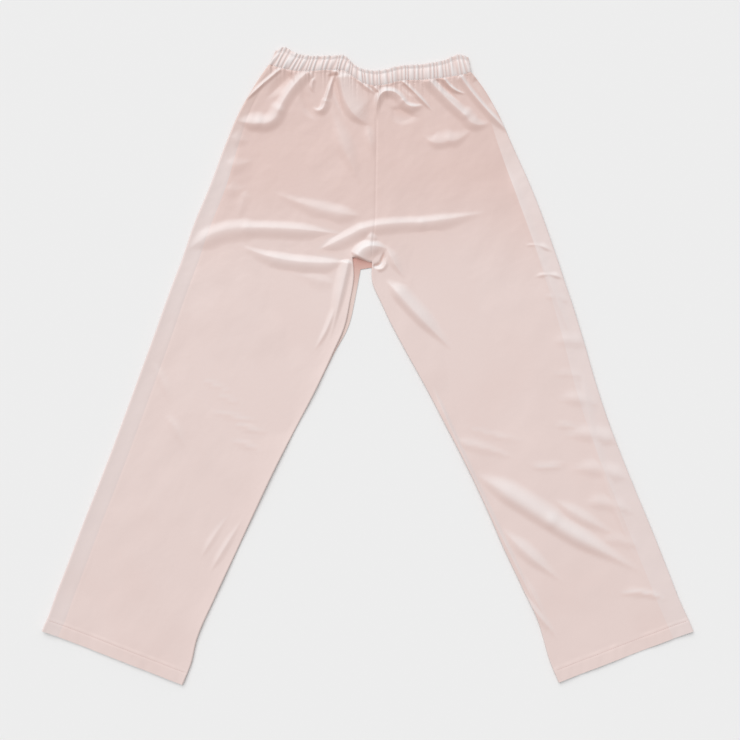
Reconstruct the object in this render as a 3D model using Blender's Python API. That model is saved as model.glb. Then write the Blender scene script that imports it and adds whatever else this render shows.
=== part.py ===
"""Pull-on track pants laid flat, front side up, with the waist towards +Y and the legs apart.

Metres, +Z up. The garment lies on z = 0: the back panels below, the front panels on them, a side
panel folded round each outer edge, and a gathered casing round the waist. Right and left are the
wearer's, so the right leg is at -X. Tables are in millimetres on the laid garment, measured from
the middle of its outline.
"""

from collections import namedtuple

import bmesh
import bpy
import numpy as np
from mathutils import Vector

MM = 0.001
TINY = 1e-9

# Cloth
WALL = 1.2 * MM  # front and side panels
BACK_WALL = 1.0 * MM  # back panels, flat on the ground
SEAM_GAP = 0.3 * MM  # between pieces that are sewn together
LAID_TOP = 2.8 * MM  # upper side of the front where it lies flat on the back

# Side edge, where the side panel bends under
SIDE_RADIUS = 2.5 * MM
SIDE_TOP = 5.0 * MM
SIDE_SETTLE = 14.0 * MM  # how quickly the bend sinks to the laid height
STRIPE_UNDER = 20.0 * MM  # how far the side panel reaches below the garment

# Inseam, where the front curls down to the edge of the back
INSEAM_RADIUS = 1.9 * MM
INSEAM_TOP = 4.2 * MM
INSEAM_SETTLE = 12.0 * MM

# Waistband, a casing drawn up over elastic and pressed flat
BAND_WALL = 2.4 * MM
BAND_GAP = 0.4 * MM  # between its front and back layers
BAND_TOP = 5.4 * MM  # upper side of its front layer
BAND_END_RADIUS = 2.8 * MM
GATHERS = 38  # across the front
GATHER_DRIFT = 0.2  # how far they stray from even spacing, in gathers
DRIFT_WAVES = (37.0, 91.0)  # how fast that changes along the band
FRONT_STATIONS = 4 * GATHERS  # places along the band where its wall is drawn
BACK_STATIONS = 60
RIB_HEIGHT = 1.4 * MM
SCALLOP = 0.8 * MM  # how far each gather stands past the band's top edge
WAIST_TOP = 5.2 * MM  # upper side of the front panels where the band holds them
WAIST_SETTLE = 32.0 * MM
WAIST_BOW = 90.0 * MM  # how far down the panels still follow the curve of the waist
GATHER_RUN = 9.0 * MM  # how quickly the gathers die out below the band

# Hem
HEM_TURN_UP = 20.0 * MM
HEM_STEP = 0.5 * MM  # extra height where the hem is double
HEM_EASE = 4.0 * MM

# Crotch
LIP_DROP = 9.0 * MM  # the front hangs down round the foot of the centre seam
LIP_WIDTH = 31.0 * MM  # on each side of that seam
LIP_REACH = 26.0 * MM
BACK_DROP = 17.0 * MM  # the back shows below it
BACK_DROP_REACH = 60.0 * MM
BACK_DROP_RISE = 1.6  # how much sooner than at the seam the whole drop is reached

Section = namedtuple("Section", "down outer_x outer_y inner_x inner_y stripe peek")
# A section runs from the side edge to the centre seam or the inseam, some way down from the waistband.
# `stripe` is how much of the side panel shows on top, `peek` how far the back shows past the inseam.

RIGHT_HIP = [
    Section(0, -160, 482, 12, 454, 10, 0),
    Section(36, -182, 451, 13, 425, 12, 0),
    Section(83, -207, 411, 14, 393, 16, 0),
    Section(139, -229, 360, 14, 351, 21, 0),
    Section(218, -257, 286, 13, 289, 27, 0),
    Section(274, -279, 234, 12, 237, 28, 0),
    Section(327, -296, 185, 8, 195, 28, 0),
    Section(344, -301.5, 169, 7, 177, 28, 0),
]
LEFT_HIP = [
    Section(0, 168, 474, 12, 454, 10, 0),
    Section(36, 187, 450, 13, 425, 12, 0),
    Section(83, 210, 411, 14, 393, 16, 0),
    Section(139, 233, 360, 14, 351, 22, 0),
    Section(218, 266, 286, 13, 289, 29, 0),
    Section(274, 286, 234, 12, 237, 30, 0),
    Section(327, 303, 185, 8, 195, 30, 0),
    Section(344, 308.5, 169, 7, 177, 30, 0),
]
RIGHT_LEG = [
    Section(344, -301.5, 169, -24, 177, 28, 16),
    Section(376, -313, 139, -22, 143, 28, 8),
    Section(409, -324.5, 108, -28, 106, 28, 7),
    Section(442, -335.5, 77, -37, 64, 28, 6),
    Section(475, -346.5, 46, -54, 25, 28, 2),
    Section(540, -369, -15, -86, -43, 28, 0),
    Section(604, -391, -75, -118, -104, 28, 0),
    Section(671, -414, -137, -151, -169, 28, 0),
    Section(735, -437, -197, -183, -237, 28, 0),
    Section(799, -461, -257, -214, -304, 28, 0),
    Section(864, -484, -318, -246, -373, 28, 0),
    Section(923, -505, -373, -277, -445, 28, 0),
    Section(951, -514, -399, -285, -480, 28, 0),
    Section(981, -526, -427, -299, -515, 28, 0),
]
LEFT_LEG = [
    Section(344, 308.5, 169, 7, 168, 30, 0),
    Section(379, 319.5, 135, 8, 135, 30, 0),
    Section(413, 330.5, 103, 23, 101, 31, 0),
    Section(452, 342, 66, 38, 69, 32, 0),
    Section(486, 352, 33, 56, 35, 33, 0),
    Section(554, 371, -33, 92, -30, 35, 0),
    Section(618, 391, -93, 126, -95, 36, 0),
    Section(682, 414, -153, 161, -163, 37, 0),
    Section(746, 438, -212, 192, -229, 37, 0),
    Section(809, 462, -270, 221, -296, 37, 0),
    Section(871, 485, -328, 252, -362, 36, 0),
    Section(933, 508, -386, 281, -428, 35, 0),
    Section(957, 518, -407, 294, -474, 35, 0),
    Section(981, 527, -428, 309, -511, 35, 0),
]

BandRow = namedtuple("BandRow", "low_x low_y high_x high_y")
# The waistband's lower and upper edge, from the right end to the left.
WAISTBAND = [
    BandRow(-159, 487, -149, 508),
    BandRow(-146, 484, -136, 515),
    BandRow(-126, 479, -116, 505),
    BandRow(-101, 477, -95, 501),
    BandRow(-61, 479, -59, 501),
    BandRow(-36, 477, -35, 500),
    BandRow(-25, 469, -25, 490),
    BandRow(-6, 458, -9, 480),
    BandRow(12, 454, 11, 477),
    BandRow(32, 456, 30, 479),
    BandRow(49, 461, 48, 484),
    BandRow(85, 463, 85, 487),
    BandRow(126, 467, 124, 494),
    BandRow(150, 471, 147, 503),
    BandRow(168, 475, 163, 499),
]

BandLine = namedtuple("BandLine", "across lift rib")
# Lines along the band from its seam (0) to its top edge (1), how far each stands above the front
# layer's height in millimetres, and its share of the ribs. Stitching holds the fourth one down.
BAND_LINES = [
    BandLine(0.0, -0.6, 0.5),
    BandLine(0.2, 0.4, 1.0),
    BandLine(0.5, 0.6, 1.0),
    BandLine(0.75, -0.4, 0.5),
    BandLine(0.88, 0.3, 1.0),
    BandLine(1.0, -1.2, 0.6),
]

Zone = namedtuple("Zone", "until every columns")
# Rows of points down a panel: how far down each zone reaches, its step, and the points in a row.
HIP_ZONES = [Zone(5, 5, 76), Zone(11, 6, 38), Zone(130, 9.2, 24), Zone(218, 22, 13), Zone(344, 11.5, 19)]
RIGHT_LEG_ZONES = [Zone(420, 15, 15), Zone(560, 28, 10), Zone(953, 44, 8), Zone(981, 9, 8)]
LEFT_LEG_ZONES = [
    Zone(420, 15, 15),
    Zone(640, 31, 10),
    Zone(850, 17.5, 12),
    Zone(953, 34, 8),
    Zone(981, 9, 8),
]
# The back's rows, which the side panels share. Only its top edge needs many points, for the curve
# of the waist.
HIP_EDGE_ZONES = [Zone(10, 10, 48), Zone(22, 12, 12), Zone(94, 12, 4), Zone(344, 25, 4)]
LEG_EDGE_ZONES = [Zone(384, 20, 4), Zone(953, 31.6, 4), Zone(981, 14, 4)]
STRIPE_COLUMNS = 4  # on top, not counting its bend

Fold = namedtuple("Fold", "from_x from_y bend_x bend_y to_x to_y height left right fade_in fade_out")
# A fold is a soft ridge (or a trough, with a negative height) along a curve from one end over its
# bend to the other. `left` and `right` are its widths on each side of that way, and the fades are
# the shares of its length over which it rises and dies out.
FOLDS = [
    # right hip, drawn from the waistband towards the side and the centre
    Fold(-135, 475, -168, 452, -196, 428, 2.5, 7, 9, 0.2, 0.5),
    Fold(-96, 468, -140, 436, -163, 403, 6.0, 20, 14, 0.2, 0.0),
    Fold(-163, 403, -183, 392, -206, 398, 5.0, 12, 15, 0.0, 0.4),
    Fold(-49, 475, -60, 440, -78, 424, 5.5, 13, 13, 0.2, 0.0),
    Fold(-78, 424, -88, 418, -97, 436, 4.0, 13, 12, 0.0, 0.6),
    Fold(-52, 466, -36, 420, -2, 378, -0.4, 9, 9, 0.2, 0.5),
    Fold(-44, 462, -24, 418, 6, 384, 4.0, 16, 11, 0.2, 0.6),
    Fold(-45, 395, -28, 340, -12, 290, 1.8, 13, 13, 0.4, 0.5),
    Fold(-222, 374, -208, 369, -194, 372, 3.0, 9, 9, 0.3, 0.4),
    # centre and left hip
    Fold(20, 450, 19, 424, 18, 398, 4.0, 11, 9, 0.2, 0.5),
    Fold(41, 448, 62, 426, 92, 424, 5.0, 12, 13, 0.2, 0.2),
    Fold(66, 450, 84, 434, 104, 414, 2.0, 6, 8, 0.2, 0.5),
    Fold(98, 454, 140, 418, 184, 386, 6.0, 15, 14, 0.2, 0.1),
    Fold(101, 372, 124, 360, 153, 376, 5.0, 14, 13, 0.3, 0.3),
    Fold(118, 465, 137, 449, 160, 438, 3.0, 9, 9, 0.2, 0.5),
    Fold(140, 466, 182, 414, 232, 366, 5.0, 12, 12, 0.2, 0.4),
    # drag lines that run out from the crotch
    Fold(-296, 184, -246, 218, -109, 211, 3.5, 12, 13, 0.2, 0.2),
    Fold(-112, 211, -45, 206, 10, 217, 3.0, 11, 12, 0.2, 0.2),
    Fold(-212, 192, -126, 168, -26, 168, 4.0, 14, 13, 0.3, 0.1),
    Fold(-84, 184, -45, 200, 6, 220, 3.0, 12, 9, 0.3, 0.1),
    Fold(15, 221, 100, 226, 184, 242, 3.0, 12, 14, 0.1, 0.5),
    Fold(-126, 266, -61, 246, 8, 234, 2.0, 11, 11, 0.4, 0.2),
    Fold(38, 128, 85, 72, 134, 28, 2.5, 15, 12, 0.4, 0.5),
    # the pouch of cloth over the crotch point
    Fold(-23, 183, 2, 192, 27, 184, 7.0, 14, 22, 0.1, 0.1),
    # the rolled edge of the right thigh
    Fold(-31, 172, -44, 112, -66, 36, 4.0, 10, 18, 0.1, 0.4),
    # left knee
    Fold(200, -188, 312, -248, 438, -338, 5.0, 20, 17, 0.3, 0.3),
    Fold(236, -297, 279, -320, 320, -356, 2.0, 12, 12, 0.4, 0.4),
]

Leg = namedtuple("Leg", "name side hip leg zones front_corner back_corner hem_peek")
# The corners are how far the inseam starts from the centre seam, in front and at the back.
LEGS = [
    Leg("right", -1, RIGHT_HIP, RIGHT_LEG, RIGHT_LEG_ZONES, 31 * MM, 15 * MM, 0.0),
    Leg("left", 1, LEFT_HIP, LEFT_LEG, LEFT_LEG_ZONES, 0.0, 0.0, 4 * MM),
]

PINK = (0.775, 0.631, 0.610)
SHADED_PINK = (0.70, 0.55, 0.52)
STRIPE_PINK = (0.73, 0.60, 0.575)
SATIN = 0.42


def smooth(at, knots, values):
    """A table's values at some places, on cubic pieces whose slopes come from the rows beside."""
    at = np.atleast_1d(at)
    slopes = np.gradient(values, knots, axis=0)
    i = np.clip(np.searchsorted(knots, at) - 1, 0, len(knots) - 2)
    step = (knots[i + 1] - knots[i])[:, None]
    t = (at - knots[i])[:, None] / step
    start = values[i] * (1 + 2 * t) * (1 - t) ** 2 + slopes[i] * step * t * (1 - t) ** 2
    end = values[i + 1] * t**2 * (3 - 2 * t) - slopes[i + 1] * step * t**2 * (1 - t)
    return start + end


def running_length(points):
    """How far along a polyline each of its points is."""
    return np.concatenate([[0.0], np.cumsum(np.linalg.norm(np.diff(points, axis=0), axis=1))])


def ease(share):
    """From 0 to 1 with level ends."""
    share = np.clip(share, 0, 1)
    return share * share * (3 - 2 * share)


def unit(way):
    return way / np.linalg.norm(way)


class Cut:
    """One section of a leg: where it starts and ends, which way it runs, and what shows on it."""

    def __init__(self, table, down):
        rows = np.array(table, dtype=float) * MM
        values = smooth(down, rows[:, 0], rows)[0]
        self.outer = values[1:3]
        self.inner = values[3:5]
        self.stripe = values[5]
        self.peek = values[6]
        self.across = unit(self.inner - self.outer)

    @property
    def width(self):
        return np.linalg.norm(self.inner - self.outer)


def zone_rows(zones, start):
    """How far down each row of a panel is, and the number of its points."""
    rows = []
    for zone in zones:
        stop = zone.until * MM
        count = max(1, round((stop - start) / (zone.every * MM)))
        rows += [(start + (stop - start) * k / count, zone.columns) for k in range(count)]
        start = stop
    return rows + [(start, zones[-1].columns)]


def nearest(path, x, y):
    """Distance from points to a polyline, how far along it (0 to 1), and which side.

    The side is 1 on its left and -1 on its right, and passes from one to the other round its ends.
    """
    way = np.diff(path, axis=0)
    gap_x = x[:, None] - path[:-1, 0]
    gap_y = y[:, None] - path[:-1, 1]
    share = np.clip((gap_x * way[:, 0] + gap_y * way[:, 1]) / (way**2).sum(axis=1), 0, 1)
    off_x = gap_x - share * way[:, 0]
    off_y = gap_y - share * way[:, 1]
    distance = np.hypot(off_x, off_y)
    rows, pick = np.arange(len(x)), distance.argmin(axis=1)
    turn = way[pick, 0] * off_y[rows, pick] - way[pick, 1] * off_x[rows, pick]
    distance = distance[rows, pick]
    side = turn / np.maximum(np.linalg.norm(way[pick], axis=1) * distance, TINY)
    return distance, (pick + share[rows, pick]) / len(way), side


def edge_path(table, columns):
    """An edge of a leg as a polyline, from two columns of its table."""
    rows = np.array(table, dtype=float) * MM
    return smooth(np.linspace(rows[0, 0], rows[-1, 0], 40), rows[:, 0], rows)[:, columns]


OUTER = slice(1, 3)
INNER = slice(3, 5)
SIDE_EDGES = [np.concatenate([edge_path(leg.hip, OUTER)[:-1], edge_path(leg.leg, OUTER)]) for leg in LEGS]
INSEAMS = [edge_path(leg.leg, INNER) for leg in LEGS]
HEMS = [np.array([leg.leg[-1][OUTER], leg.leg[-1][INNER]]) * MM for leg in LEGS]
CENTRE_SEAM = edge_path(LEGS[0].hip, INNER)


def band_edges(share):
    """The lower and upper edge of the waistband at some shares of its way from right to left."""
    rows = np.array(WAISTBAND, dtype=float) * MM
    middle = (rows[:, :2] + rows[:, 2:]) / 2
    way = running_length(middle) / running_length(middle)[-1]
    return smooth(share, way, rows)


BAND_SHARES = np.linspace(0, 1, 160)
WAIST_LINE = band_edges(BAND_SHARES)[:, :2]


def gather_wave(share):
    """The gathers along the band as a wave from 0 to 1, a little uneven in width."""
    drift = GATHER_DRIFT * sum(np.sin(wave * share) for wave in DRIFT_WAVES)
    return 0.5 - 0.5 * np.cos(2 * np.pi * (GATHERS * share + drift))


def fold_path(fold):
    """A curve from a fold's start through its bend to its end."""
    start, bend, end = np.array(fold[:6], dtype=float).reshape(3, 2) * MM
    pull = 2 * bend - (start + end) / 2
    t = np.linspace(0, 1, 17)[:, None]
    return start * (1 - t) ** 2 + 2 * pull * t * (1 - t) + end * t**2


def fold_height(fold, x, y):
    """How much a fold adds to the cloth's height."""
    distance, along, side = nearest(fold_path(fold), x, y)
    width = (fold.left * (1 + side) + fold.right * (1 - side)) / 2 * MM
    height = fold.height * MM * (1 + np.cos(np.pi * np.clip(distance / width, 0, 1))) / 2
    if fold.fade_in:
        height = height * ease(along / fold.fade_in)
    if fold.fade_out:
        height = height * ease((1 - along) / fold.fade_out)
    return height


def relief(x, y):
    """What the folds add to the cloth's height. Where ridges meet, it is little more than the highest."""
    heights = np.array([fold_height(fold, x, y) for fold in FOLDS])
    ridges = (np.clip(heights, 0, None) ** 3).sum(axis=0) ** (1 / 3)
    return ridges + np.clip(heights, None, 0).sum(axis=0)


def cloth_top(x, y):
    """The height of the front's upper side over points of the laid garment."""
    from_side = np.minimum(*[nearest(edge, x, y)[0] for edge in SIDE_EDGES])
    from_inseam = np.minimum(*[nearest(edge, x, y)[0] for edge in INSEAMS])
    below_waist = np.clip(np.interp(x, *WAIST_LINE.T) - y, 0, None)
    side = (SIDE_TOP - LAID_TOP) * np.exp(-np.clip(from_side - SIDE_RADIUS, 0, None) / SIDE_SETTLE)
    held = (WAIST_TOP - LAID_TOP) * np.exp(-below_waist / WAIST_SETTLE)
    roll = (INSEAM_TOP - LAID_TOP) * np.exp(-np.clip(from_inseam - INSEAM_RADIUS, 0, None) / INSEAM_SETTLE)
    height = LAID_TOP + np.maximum(side, held) + roll + relief(x, y)
    share = np.interp(x, WAIST_LINE[:, 0], BAND_SHARES)
    height += RIB_HEIGHT * (gather_wave(share) - 0.5) * np.exp(-below_waist / GATHER_RUN)
    for hem in HEMS:
        height += HEM_STEP * ease((HEM_TURN_UP + HEM_EASE - nearest(hem, x, y)[0]) / HEM_EASE)
    return height


def cloth_normals(x, y):
    """Which way the front's upper side faces."""
    reach = 0.5 * MM
    slope_x = (cloth_top(x + reach, y) - cloth_top(x - reach, y)) / (2 * reach)
    slope_y = (cloth_top(x, y + reach) - cloth_top(x, y - reach)) / (2 * reach)
    normals = np.column_stack([-slope_x, -slope_y, np.ones_like(x)])
    return normals / np.linalg.norm(normals, axis=1, keepdims=True)


def plan_points(leg, cut, distances):
    """Points along a section, those near the waist and the foot of the centre seam moved to it."""
    points = cut.outer + cut.across * distances[:, None]
    top = Section(*(np.array(leg.hip[0]) * MM))
    share = np.clip((points[:, 0] - top.outer_x) / (top.inner_x - top.outer_x), 0, 1)
    straight = top.outer_y + (top.inner_y - top.outer_y) * share
    bow = np.interp(points[:, 0], *WAIST_LINE.T) - SEAM_GAP - straight
    points[:, 1] += bow * (1 - ease((top.outer_y - cut.outer[1]) / WAIST_BOW))
    foot = CENTRE_SEAM[-1]
    near = ease(1 - (points[:, 1] - foot[1]) / LIP_REACH)
    near *= ease(1 - np.abs(points[:, 0] - foot[0]) / LIP_WIDTH)
    above_crotch = cut.outer[1] >= leg.hip[-1].outer_y * MM - SEAM_GAP
    points[:, 1] -= LIP_DROP * near * above_crotch
    return points


def to_centre_seam(leg, points):
    """Puts the last point of a hip row beside the centre seam."""
    seam_x = np.interp(-points[-1, 1], -CENTRE_SEAM[:, 1], CENTRE_SEAM[:, 0])
    points[-1, 0] = seam_x + leg.side * SEAM_GAP / 2


def row_distances(start, end, corner, columns):
    """Even steps along a row, with one of its points on the corner if there is one."""
    if not corner:
        return np.linspace(start, end, columns)
    turn = end - corner
    return np.concatenate([np.linspace(start, turn, columns - 3), np.linspace(turn, end, 4)[1:]])


def on_cloth(plan, seams):
    """Upper points and ways into the wall for a row of the front. At a seam the way is straight down."""
    x, y = plan.T
    inward = -WALL * cloth_normals(x, y)
    inward[seams] = (0, 0, -WALL)
    return np.column_stack([plan, cloth_top(x, y)]), inward


def inseam_curl(cut):
    """Points from the top of the inseam's curl down to the edge of the back."""
    crest = cut.inner - cut.across * INSEAM_RADIUS
    top = cloth_top(crest[:1], crest[1:])[0]
    turns = np.radians([55.0, 20.0, 0.0])
    out, up = np.cos(turns)[:, None], np.sin(turns)
    heights = top - INSEAM_RADIUS * (1 - up)
    heights[-1] = BACK_WALL + SEAM_GAP
    points = np.column_stack([crest + cut.across * INSEAM_RADIUS * out, heights])
    return points, WALL * np.column_stack([-cut.across * out, -up])


def side_bend(leg, cut, crest):
    """Points from the top of the side edge round to the ground and under the garment."""
    turns = np.radians([50.0, 15.0, -20.0, -55.0, -90.0])
    out, up = np.cos(turns)[:, None], np.sin(turns)
    bend = np.column_stack([crest[:2] - cut.across * SIDE_RADIUS * out, crest[2] / 2 * (1 + up)])
    under = np.append(plan_points(leg, cut, np.array([STRIPE_UNDER]))[0], 0.0)
    inward = WALL * np.column_stack([cut.across * out, -up])
    return np.vstack([bend, under]), np.vstack([inward, (0, 0, WALL)])


class Sheet:
    """A sheet of cloth drawn row by row, then given its wall."""

    def __init__(self, reverse):
        self.bm = bmesh.new()
        self.ways = {}
        self.reverse = reverse
        self.above = None

    def add_row(self, points, inward, keep=None):
        """Adds a row below the last one. Only the first `keep` points of it carry the next row."""
        row = [self.bm.verts.new(point) for point in points]
        self.ways.update(zip(row, inward))
        if self.above:
            self.fill(self.above, row)
        self.above = row[:keep]

    def fill(self, first, second):
        """Fills the strip between two rows, whatever their counts, by the shorter step each time."""
        a = b = 0
        while a < len(first) - 1 or b < len(second) - 1:
            if len(first) == len(second):
                self.face(first[a], second[b], second[b + 1], first[a + 1])
                a, b = a + 1, b + 1
            elif b == len(second) - 1 or (a < len(first) - 1 and self.shorter(first, a, second, b)):
                self.face(first[a], second[b], first[a + 1])
                a += 1
            else:
                self.face(first[a], second[b], second[b + 1])
                b += 1

    @staticmethod
    def shorter(first, a, second, b):
        return (first[a + 1].co - second[b].co).length < (first[a].co - second[b + 1].co).length

    def face(self, *corners):
        self.bm.faces.new(corners[::-1] if self.reverse else corners)

    def thicken(self):
        """Adds the inner skin, and a rim all round."""
        rim = [edge.link_loops[0] for edge in self.bm.edges if edge.is_boundary]
        ends = [(loop.vert, loop.link_loop_next.vert) for loop in rim]
        skin = list(self.bm.faces)
        inner = {vert: self.bm.verts.new(vert.co + Vector(way)) for vert, way in self.ways.items()}
        for face in skin:
            self.bm.faces.new([inner[vert] for vert in reversed(face.verts)])
        for start, end in ends:
            self.bm.faces.new((end, start, inner[start], inner[end]))


def finish(bm, name, colour):
    """Makes the named object, in its own cloth."""
    mesh = bpy.data.meshes.new(name)
    bm.normal_update()
    bm.to_mesh(mesh)
    bm.free()
    mesh.shade_smooth()
    mesh.set_sharp_from_angle(angle=np.radians(50))
    material = bpy.data.materials.new(name)
    material.use_nodes = True
    shader = material.node_tree.nodes["Principled BSDF"]
    shader.inputs["Base Color"].default_value = (*colour, 1)
    shader.inputs["Roughness"].default_value = SATIN
    shader.inputs["Metallic"].default_value = 0.0
    mesh.materials.append(material)
    bpy.context.collection.objects.link(bpy.data.objects.new(name, mesh))


def front_panel(leg):
    """Front of one leg, from the waistband to the hem, curled down along the inseam."""
    sheet = Sheet(reverse=leg.side > 0)
    hip_rows = zone_rows(HIP_ZONES, 0)
    for down, columns in hip_rows:
        cut = Cut(leg.hip, down)
        last = (down, columns) == hip_rows[-1]
        corner = leg.front_corner if last else 0
        steps = row_distances(cut.stripe + SEAM_GAP / 2, cut.width, corner, columns)
        plan = plan_points(leg, cut, steps)
        to_centre_seam(leg, plan)
        seams = slice(None) if down == 0 else [0, -1]
        sheet.add_row(*on_cloth(plan, seams), keep=columns - 3 if corner else None)
    for down, columns in zone_rows(leg.zones, hip_rows[-1][0])[1:]:
        cut = Cut(leg.leg, down)
        steps = np.linspace(cut.stripe + SEAM_GAP / 2, cut.width - INSEAM_RADIUS, columns)
        upper, inward = on_cloth(plan_points(leg, cut, steps), [0])
        curl, curl_inward = inseam_curl(cut)
        sheet.add_row(np.vstack([upper, curl]), np.vstack([inward, curl_inward]))
    sheet.thicken()
    finish(sheet.bm, f"front_{leg.name}_leg", PINK)


def back_panel(leg):
    """Back of one leg: it lies flat, and a little of it shows below the crotch and past the inseam."""
    sheet = Sheet(reverse=leg.side > 0)
    hip_rows = zone_rows(HIP_EDGE_ZONES, 0)
    foot_y = CENTRE_SEAM[-1, 1]
    for down, columns in hip_rows:
        cut = Cut(leg.hip, down)
        last = (down, columns) == hip_rows[-1]
        corner = leg.back_corner if last else 0
        columns = columns + 3 if corner else columns
        steps = row_distances(STRIPE_UNDER + SEAM_GAP, cut.width, corner, columns)
        plan = plan_points(leg, cut, steps)
        drop = (BACK_DROP - LIP_DROP) * ease(1 - (plan[-1, 1] + LIP_DROP - foot_y) / BACK_DROP_REACH)
        plan[:, 1] -= drop * ease(BACK_DROP_RISE * steps / cut.width)
        to_centre_seam(leg, plan)
        points = np.column_stack([plan, np.full(columns, BACK_WALL)])
        sheet.add_row(points, [(0, 0, -BACK_WALL)] * columns, keep=columns - 3 if corner else None)
    leg_rows = zone_rows(LEG_EDGE_ZONES, hip_rows[-1][0])[1:]
    for down, columns in leg_rows:
        cut = Cut(leg.leg, down)
        cut.inner = cut.inner + (cut.peek, 0)
        plan = plan_points(leg, cut, np.linspace(STRIPE_UNDER + SEAM_GAP, cut.width, columns))
        if (down, columns) == leg_rows[-1]:
            plan[:, 1] -= leg.hem_peek * np.linspace(1, 0, columns)
        sheet.add_row(np.column_stack([plan, np.full(columns, BACK_WALL)]), [(0, 0, -BACK_WALL)] * columns)
    sheet.thicken()
    finish(sheet.bm, f"back_{leg.name}_leg", SHADED_PINK)


def side_stripe(leg):
    """Side panel of one leg, waistband to hem: part of it lies on top and the rest is folded under."""
    sheet = Sheet(reverse=leg.side < 0)
    hip_rows = zone_rows(HIP_EDGE_ZONES, 0)
    leg_rows = zone_rows(LEG_EDGE_ZONES, hip_rows[-1][0])[1:]
    for table, rows in ((leg.hip, hip_rows), (leg.leg, leg_rows)):
        for down, _ in rows:
            cut = Cut(table, down)
            steps = np.linspace(cut.stripe - SEAM_GAP / 2, SIDE_RADIUS, STRIPE_COLUMNS)
            upper, inward = on_cloth(plan_points(leg, cut, steps), slice(None) if down == 0 else [0])
            bend, bend_inward = side_bend(leg, cut, upper[-1])
            sheet.add_row(np.vstack([upper, bend]), np.vstack([inward, bend_inward]))
    sheet.thicken()
    finish(sheet.bm, f"side_stripe_{leg.name}", STRIPE_PINK)


def band_station(share, turn):
    """Points round the casing's wall at one place: outer ones from seam to top edge, then inner ones.

    `turn` is 1 on the front layer, -1 on the back layer, and between them round an end of the band.
    """
    low, high = band_edges(share)[0].reshape(2, 2)
    ahead = unit(np.diff(band_edges(np.array([share - 0.01, share + 0.01]))[:, :2], axis=0)[0])
    outwards = ahead * (1 if share > 0.5 else -1) * np.sqrt(1 - turn**2)
    wave = gather_wave(share) - 0.5
    points = []
    for line in BAND_LINES:
        place = low + (high - low) * line.across
        if line.across == 1:
            place = place + unit(high - low) * SCALLOP * wave
        top = BAND_TOP + (line.lift + RIB_HEIGHT / MM * wave * line.rib * (turn == 1)) * MM
        points.append((*(place + outwards * BAND_END_RADIUS), top * (1 + turn) / 2))
    inner_height = BAND_WALL + BAND_GAP * (1 + turn) / 2
    for place in (high, low):
        points.append((*(place + outwards * BAND_GAP), inner_height))
    return points


def waistband():
    """The gathered casing: one flattened ring whose back layer lies flat on the ground."""
    end = BAND_END_RADIUS / np.linalg.norm(WAIST_LINE[-1] - WAIST_LINE[0])
    round_end = np.sin(np.radians([55.0, 20.0, -20.0, -55.0]))
    stations = [(share, 1) for share in np.linspace(end, 1 - end, FRONT_STATIONS + 1)]
    stations += [(1 - end, turn) for turn in round_end]
    stations += [(share, -1) for share in np.linspace(1 - end, end, BACK_STATIONS + 1)]
    stations += [(end, turn) for turn in round_end[::-1]]
    bm = bmesh.new()
    rings = [[bm.verts.new(point) for point in band_station(*station)] for station in stations]
    for ring, following in zip(rings, rings[1:] + rings[:1]):
        for k, vert in enumerate(ring):
            after = (k + 1) % len(ring)
            bm.faces.new((vert, following[k], following[after], ring[after]))
    bmesh.ops.recalc_face_normals(bm, faces=bm.faces)
    finish(bm, "waistband", PINK)


for old in list(bpy.data.objects):
    bpy.data.objects.remove(old)
for one_leg in LEGS:
    front_panel(one_leg)
    back_panel(one_leg)
    side_stripe(one_leg)
waistband()
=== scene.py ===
"""Satin tricot track pants laid flat on a pale ground, seen from straight above.

Metres, +Z up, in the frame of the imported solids: the waist towards +Y, the wearer's right leg at -X.
Tables are in millimetres on the laid garment.
"""

from collections import namedtuple

import bmesh
import bpy
import numpy as np
from mathutils import Matrix, Vector, noise


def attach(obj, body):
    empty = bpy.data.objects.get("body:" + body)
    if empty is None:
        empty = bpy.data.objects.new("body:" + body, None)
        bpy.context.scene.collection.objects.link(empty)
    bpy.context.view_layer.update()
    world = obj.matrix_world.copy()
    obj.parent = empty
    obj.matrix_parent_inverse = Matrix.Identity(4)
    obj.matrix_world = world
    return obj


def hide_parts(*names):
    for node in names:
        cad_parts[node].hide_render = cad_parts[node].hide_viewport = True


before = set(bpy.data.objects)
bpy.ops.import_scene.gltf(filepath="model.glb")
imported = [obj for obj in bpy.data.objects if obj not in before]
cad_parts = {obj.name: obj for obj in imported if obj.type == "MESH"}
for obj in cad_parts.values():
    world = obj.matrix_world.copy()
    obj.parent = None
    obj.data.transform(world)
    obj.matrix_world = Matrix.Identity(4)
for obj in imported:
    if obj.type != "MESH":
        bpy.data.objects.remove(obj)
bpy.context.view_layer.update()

MM = 0.001

# Ground, light and camera
# A sheet of pale paper, a wide window beyond the waist with the room's light round it, and a camera
# straight above the middle of the garment.

GROUND_WHITE = (0.86, 0.86, 0.86)
ROOM_LIGHT = 0.55
WINDOW_LIGHT = 1.86
WINDOW_WAY = (-0.5, 1.0, 1.22)  # from the garment to the window
WINDOW_SPREAD = np.radians(50)
CAMERA_PLACE = (0.004, -0.006, 1.665)

paper = bpy.data.materials.new("paper")
paper.use_nodes = True
paper.node_tree.nodes["Principled BSDF"].inputs["Base Color"].default_value = (*GROUND_WHITE, 1)
paper.node_tree.nodes["Principled BSDF"].inputs["Roughness"].default_value = 0.9
paper.node_tree.nodes["Principled BSDF"].inputs["Specular IOR Level"].default_value = 0.2
bm = bmesh.new()
bmesh.ops.create_grid(bm, x_segments=1, y_segments=1, size=4.0)
bmesh.ops.translate(bm, verts=bm.verts, vec=(0, 0, -0.3 * MM))
ground_mesh = bpy.data.meshes.new("ground")
bm.to_mesh(ground_mesh)
bm.free()
ground_mesh.materials.append(paper)
ground = bpy.data.objects.new("ground", ground_mesh)
bpy.context.collection.objects.link(ground)

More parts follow.
